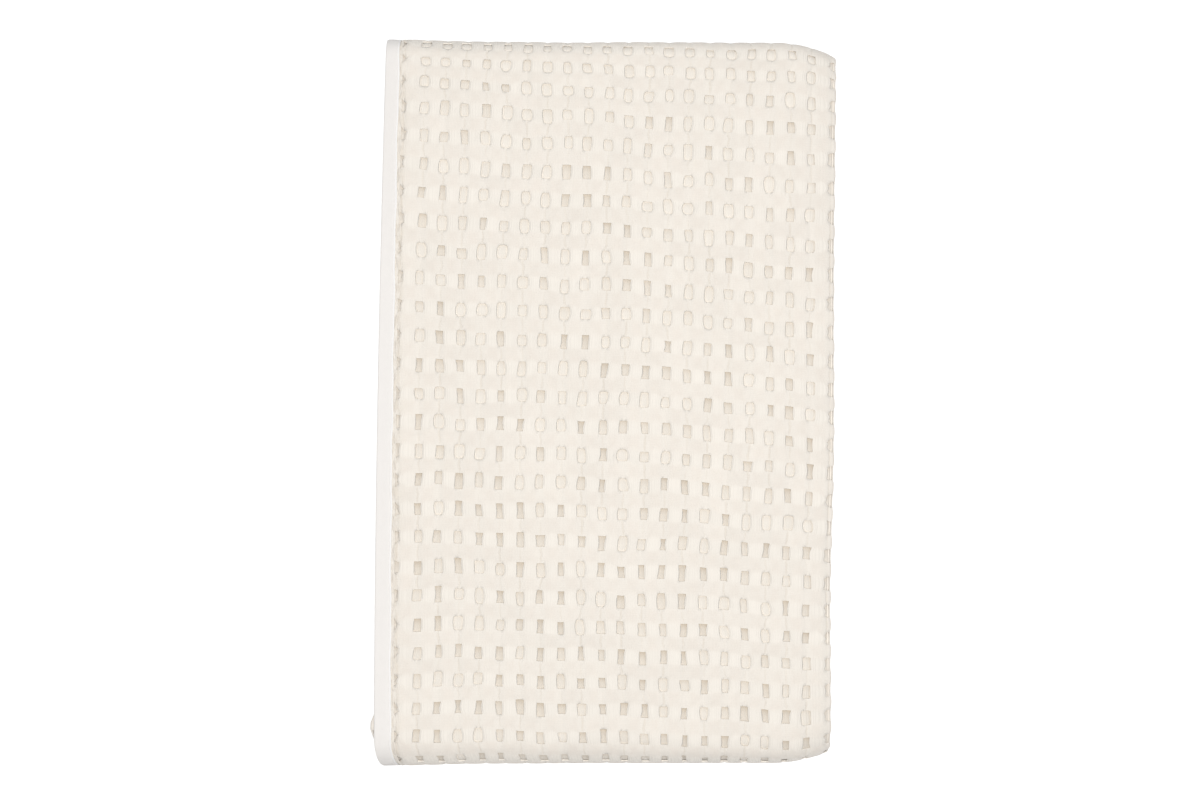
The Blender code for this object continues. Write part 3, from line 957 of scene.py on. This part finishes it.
def newGroup(name, inputs, outputs):
    tree = bpy.data.node_groups.new(name, "ShaderNodeTree")
    tree.interface.new_socket("Cell", in_out="INPUT", socket_type="NodeSocketVector")
    for label in inputs:
        tree.interface.new_socket(label, in_out="INPUT", socket_type="NodeSocketFloat")
    for label in outputs:
        tree.interface.new_socket(label, in_out="OUTPUT", socket_type="NodeSocketFloat")
    return tree, tree.nodes.new("NodeGroupInput").outputs, tree.nodes.new("NodeGroupOutput").inputs


def feed(socket, value):  # a link or a plain value
    if isinstance(value, bpy.types.NodeSocket):
        socket.id_data.links.new(value, socket)
    else:
        socket.default_value = value


def addNode(tree, kind, *values, **settings):
    node = tree.nodes.new("ShaderNode" + kind)
    for key, value in settings.items():
        setattr(node, key, value)
    for socket, value in zip(node.inputs, values):
        feed(socket, value)
    return node


def calc(operation, *values):  # in the tree that its values come from
    tree = next(value.id_data for value in values if isinstance(value, bpy.types.NodeSocket))
    return addNode(tree, "Math", *values, operation=operation).outputs[0]


plus, minus, times = (partial(calc, operation) for operation in ("ADD", "SUBTRACT", "MULTIPLY"))


def remap(value, low, high, toLow, toHigh):
    values = (value, low, high, toLow, toHigh)
    return addNode(value.id_data, "MapRange", *values, interpolation_type="SMOOTHSTEP").outputs["Result"]


def mixColour(share, first, second):
    node = addNode(share.id_data, "Mix", data_type="RGBA")
    for label, value in (("Factor", share), ("A", first), ("B", second)):
        feed(node.inputs[label], value)
    return node.outputs["Result"]


def noise(cell, name):
    scale, across, along, *detail = noises[name]
    stretched = addNode(cell.id_data, "VectorMath", cell, (across, along, 1.0), operation="MULTIPLY")
    node = addNode(cell.id_data, "TexNoise", stretched.outputs[0])
    for label, value in zip(("Scale", "Detail", "Roughness"), (scale, *detail)):
        feed(node.inputs[label], value)
    return node.outputs["Fac"]


def splitVector(vector):
    return addNode(vector.id_data, "SeparateXYZ", vector).outputs


# Threads over and under each other: a height and a tone
def makeThreadWeave():
    tree, given, out = newGroup("threadWeave", ["Across", "Along"], ["Height", "Tone"])
    x, y, _ = splitVector(given["Cell"])
    warp, weft = times(x, given["Across"]), times(y, given["Along"])
    odd = plus(calc("FLOOR", warp), calc("FLOOR", weft))
    odd = calc("FLOORED_MODULO", odd, 2.0)
    waves = [calc("SINE", times(thread, math.pi)) for thread in (warp, weft)]
    over, under = (calc("ABSOLUTE", wave) for wave in waves)
    height = plus(times(over, odd), times(under, minus(1.0, odd)))
    feed(out["Height"], height)
    feed(out["Tone"], times(plus(height, noise(given["Cell"], "threads")), 0.5))
    return tree


# Where the waffle's ribs, puffs and creases are
def makeWaffleMap():
    labels = ["Rib", "Puff", "Crease", "Floats", "Cell Tone"]
    tree, given, out = newGroup("waffleMap", [], labels)
    cell = given["Cell"]
    x, y, _ = splitVector(cell)
    u, v = (minus(calc("FRACT", value), 0.5) for value in (x, y))
    rib = remap(calc("ABSOLUTE", v), *ranges["rib"])
    offRib = minus(1.0, rib)
    stray = times(minus(noise(cell, "stray"), 0.5), cotton["creaseStray"])
    crease = remap(calc("ABSOLUTE", plus(u, stray)), *ranges["crease"])
    faint = remap(noise(cell, "faint"), *ranges["faint"])
    crease = times(times(crease, offRib), faint)
    patch = remap(noise(cell, "patch"), *ranges["patch"])
    puff = times(remap(calc("ABSOLUTE", u), *ranges["puff"]), patch)
    ridge = calc("SINE", times(x, 2 * math.pi * cotton["floats"]))
    ridge = times(plus(times(ridge, 0.5), 0.5), rib)
    column = calc("FLOOR", plus(x, 0.5))
    halfRow = calc("FLOOR", times(plus(y, 0.25), 2.0))
    both = addNode(tree, "CombineXYZ", column, halfRow).outputs[0]
    white = addNode(tree, "TexWhiteNoise", both, noise_dimensions="2D").outputs["Value"]
    for label, value in zip(labels, (rib, times(puff, offRib), crease, ridge, white)):
        feed(out[label], value)
    return tree


# Soft cloudy change of tone and roughness over washed cotton
def makeCottonTone():
    inputs, outputs = ["Clouds", "Smooth", "Rough"], ["Shade", "Roughness", "Fuzz"]
    tree, given, out = newGroup("cottonTone", inputs, outputs)
    cloud, spots, fuzz = (noise(given["Cell"], name) for name in ("cloud", "spots", "fuzz"))
    share = cotton["cloudShare"]
    both = plus(times(cloud, share), times(spots, 1 - share))
    feed(out["Shade"], minus(1.0, times(both, given["Clouds"])))
    feed(out["Roughness"], remap(fuzz, *fuzzRange, given["Smooth"], given["Rough"]))
    feed(out["Fuzz"], fuzz)
    return tree


threadWeave, waffleMap, cottonTone = makeThreadWeave(), makeWaffleMap(), makeCottonTone()


def newCotton(name, looks):  # a material, with its threads and tone
    material = bpy.data.materials.new(name)
    material.use_nodes = True
    tree = material.node_tree
    shader = tree.nodes["Principled BSDF"].inputs
    shader["Sheen Weight"].default_value, shader["Sheen Roughness"].default_value = looks["sheen"]
    shader["Specular IOR Level"].default_value = specular
    cell = addNode(tree, "Attribute", attribute_name="weaveCell").outputs["Vector"]
    threads = addNode(tree, "Group", node_tree=threadWeave)
    tone = addNode(tree, "Group", node_tree=cottonTone)
    for node, values in ((threads, looks["threads"]), (tone, (looks["clouds"], *looks["roughness"]))):
        for socket, value in zip(node.inputs, (cell, *values)):
            feed(socket, value)
    feed(shader["Roughness"], tone.outputs["Roughness"])
    fleck = times(minus(threads.outputs["Tone"], 0.5), looks["fleck"])
    return material, cell, threads.outputs, tone.outputs, plus(tone.outputs["Shade"], fleck)


def finishCotton(material, colour, shade, height, distance):
    tree = material.node_tree
    shader = tree.nodes["Principled BSDF"].inputs
    bright = addNode(tree, "VectorMath", colour, operation="SCALE")
    feed(bright.inputs["Scale"], shade)
    feed(shader["Base Color"], bright.outputs[0])
    bump = addNode(tree, "Bump")
    feed(bump.inputs["Distance"], distance)
    feed(bump.inputs["Height"], height)
    feed(shader["Normal"], bump.outputs["Normal"])
    return material


def makeWaffleCotton():
    material, cell, threads, tone, shade = newCotton("waffleCotton", cotton)
    waffle = addNode(cell.id_data, "Group", node_tree=waffleMap)
    feed(waffle.inputs["Cell"], cell)
    waffle = waffle.outputs
    # hollow is the painted shade in the windows, from the cloth pieces
    hollow = addNode(cell.id_data, "Attribute", attribute_name="hollow").outputs["Fac"]
    beside = remap(splitVector(cell)["X"], *ranges["besideTape"])
    wrinkle = times(beside, remap(noise(cell, "wrinkle"), *ranges["wrinkle"]))
    colour = mixColour(waffle["Puff"], cotton["rib"], cotton["puff"])
    # painted shade in the wrinkles beside the tape and in the creases
    colour = mixColour(times(wrinkle, cotton["wrinklePaintedShade"]), colour, cotton["crease"])
    colour = mixColour(times(waffle["Crease"], cotton["creasePaintedShade"]), colour, cotton["crease"])
    # painted shade in the windows
    colour = mixColour(times(hollow, cotton["paintedWindowShadeShare"]), colour, cotton["paintedWindowShade"])
    cellTone = times(minus(waffle["Cell Tone"], 0.5), cotton["cellTone"])
    calm = minus(cotton["threadBump"], times(waffle["Rib"], cotton["ribCalm"]))
    height = times(threads["Height"], calm)
    height = plus(height, times(waffle["Floats"], cotton["floatBump"]))
    height = plus(height, times(tone["Fuzz"], cotton["fuzzBump"]))
    height = minus(height, times(waffle["Crease"], cotton["creaseBump"]))
    height = plus(height, times(wrinkle, cotton["wrinkleBump"]))
    return finishCotton(material, colour, plus(shade, cellTone), height, cotton["bump"])


def makeTapeCotton(name, colour, bump, edge):
    material, cell, threads, tone, shade = newCotton(name, tapeLooks)
    # a painted highlight along the tape's turned-in edge
    folded = remap(splitVector(cell)["X"], edge / 2, edge, 1.0, 0.0)
    colour = mixColour(folded, tapeLooks[colour], tapeLooks["edge"])
    height = plus(threads["Height"], tone["Fuzz"])
    return finishCotton(material, colour, shade, height, tapeLooks[bump])


def paintAll(pieces, material):
    for piece in pieces:
        piece.data.materials.append(material)


paintAll(clothPieces, makeWaffleCotton())
paintAll(tapePieces, makeTapeCotton("tapeCotton", "colour", "bump", tapeLooks["paintedHighlightWidth"]))
paintAll(stitchPieces, makeTapeCotton("threadCotton", "stitches", "stitchBump", 0.0))
print("materials made")

# The plain pale floor, soft light and the camera straight above, as in the photograph
studio = {
    "frameWidth": 1.060,  # metres across the picture, at the bedspread's top
    "distance": 1.80,
    "aim": (-0.0031, 0.0040),
    "sensor": 36.0,
    "floorHalf": 4.0,
    "floorColour": (0.93, 0.93, 0.93, 1),
    "floorRoughness": 0.9,
    "floorGlow": (0.45, 0.45, 0.45, 1),  # only to the camera, for a white floor
    "skyStrength": 0.45,
    "skyNear": (0.36, 0.355, 0.35, 1),  # low down, on the near side and on the far side
    "skyFar": (0.37, 0.445, 0.49, 1),
    "skyHigh": (1.0, 1.0, 1.0, 1),
    "lampPower": 42.0,
    "lampColour": (1.0, 0.985, 0.975),
    "lampPlace": (0.10, 0.0, 2.4),
    "lampSize": 1.2,
}

floorMesh = bpy.data.meshes.new("floor")
half = studio["floorHalf"]
floorCorners = [(-half, -half, 0), (half, -half, 0), (half, half, 0), (-half, half, 0)]
floorMesh.from_pydata(floorCorners, [], [(0, 1, 2, 3)])
floor = addObject("floor", floorMesh)
floorPaint = bpy.data.materials.new("floorPaint")
floorPaint.use_nodes = True
paint = floorPaint.node_tree.nodes["Principled BSDF"].inputs
paint["Base Color"].default_value = studio["floorColour"]
paint["Roughness"].default_value = studio["floorRoughness"]
paint["Emission Color"].default_value = studio["floorGlow"]
cameraSees = floorPaint.node_tree.nodes.new("ShaderNodeLightPath").outputs["Is Camera Ray"]
floorPaint.node_tree.links.new(cameraSees, paint["Emission Strength"])
floorMesh.materials.append(floorPaint)

world = bpy.data.worlds.new("studio")
bpy.context.scene.world = world
world.use_nodes = True
sky = world.node_tree
_, farwards, upwards = splitVector(addNode(sky, "TexCoord").outputs["Generated"])
skyColour = mixColour(remap(farwards, *ranges["farwards"]), studio["skyNear"], studio["skyFar"])
skyColour = mixColour(remap(upwards, *ranges["upwards"]), skyColour, studio["skyHigh"])
sky.links.new(skyColour, sky.nodes["Background"].inputs["Color"])
sky.nodes["Background"].inputs["Strength"].default_value = studio["skyStrength"]

lampData = bpy.data.lights.new("softLamp", "AREA")
lampData.shape = "DISK"
lampData.size = studio["lampSize"]
lampData.energy = studio["lampPower"]
lampData.color = studio["lampColour"]
lamp = addObject("softLamp", lampData)
lamp.location = studio["lampPlace"]
lamp.rotation_euler = (-lamp.location).to_track_quat("-Z", "Y").to_euler()

cameraData = bpy.data.cameras.new("camera")
cameraData.sensor_width = studio["sensor"]
cameraData.lens = studio["sensor"] * studio["distance"] / studio["frameWidth"]
camera = addObject("camera", cameraData)
camera.location = (*studio["aim"], solidBox[1][2] + studio["distance"])
bpy.context.scene.camera = camera
bpy.context.scene.view_settings.view_transform = "Standard"
print("studio set")
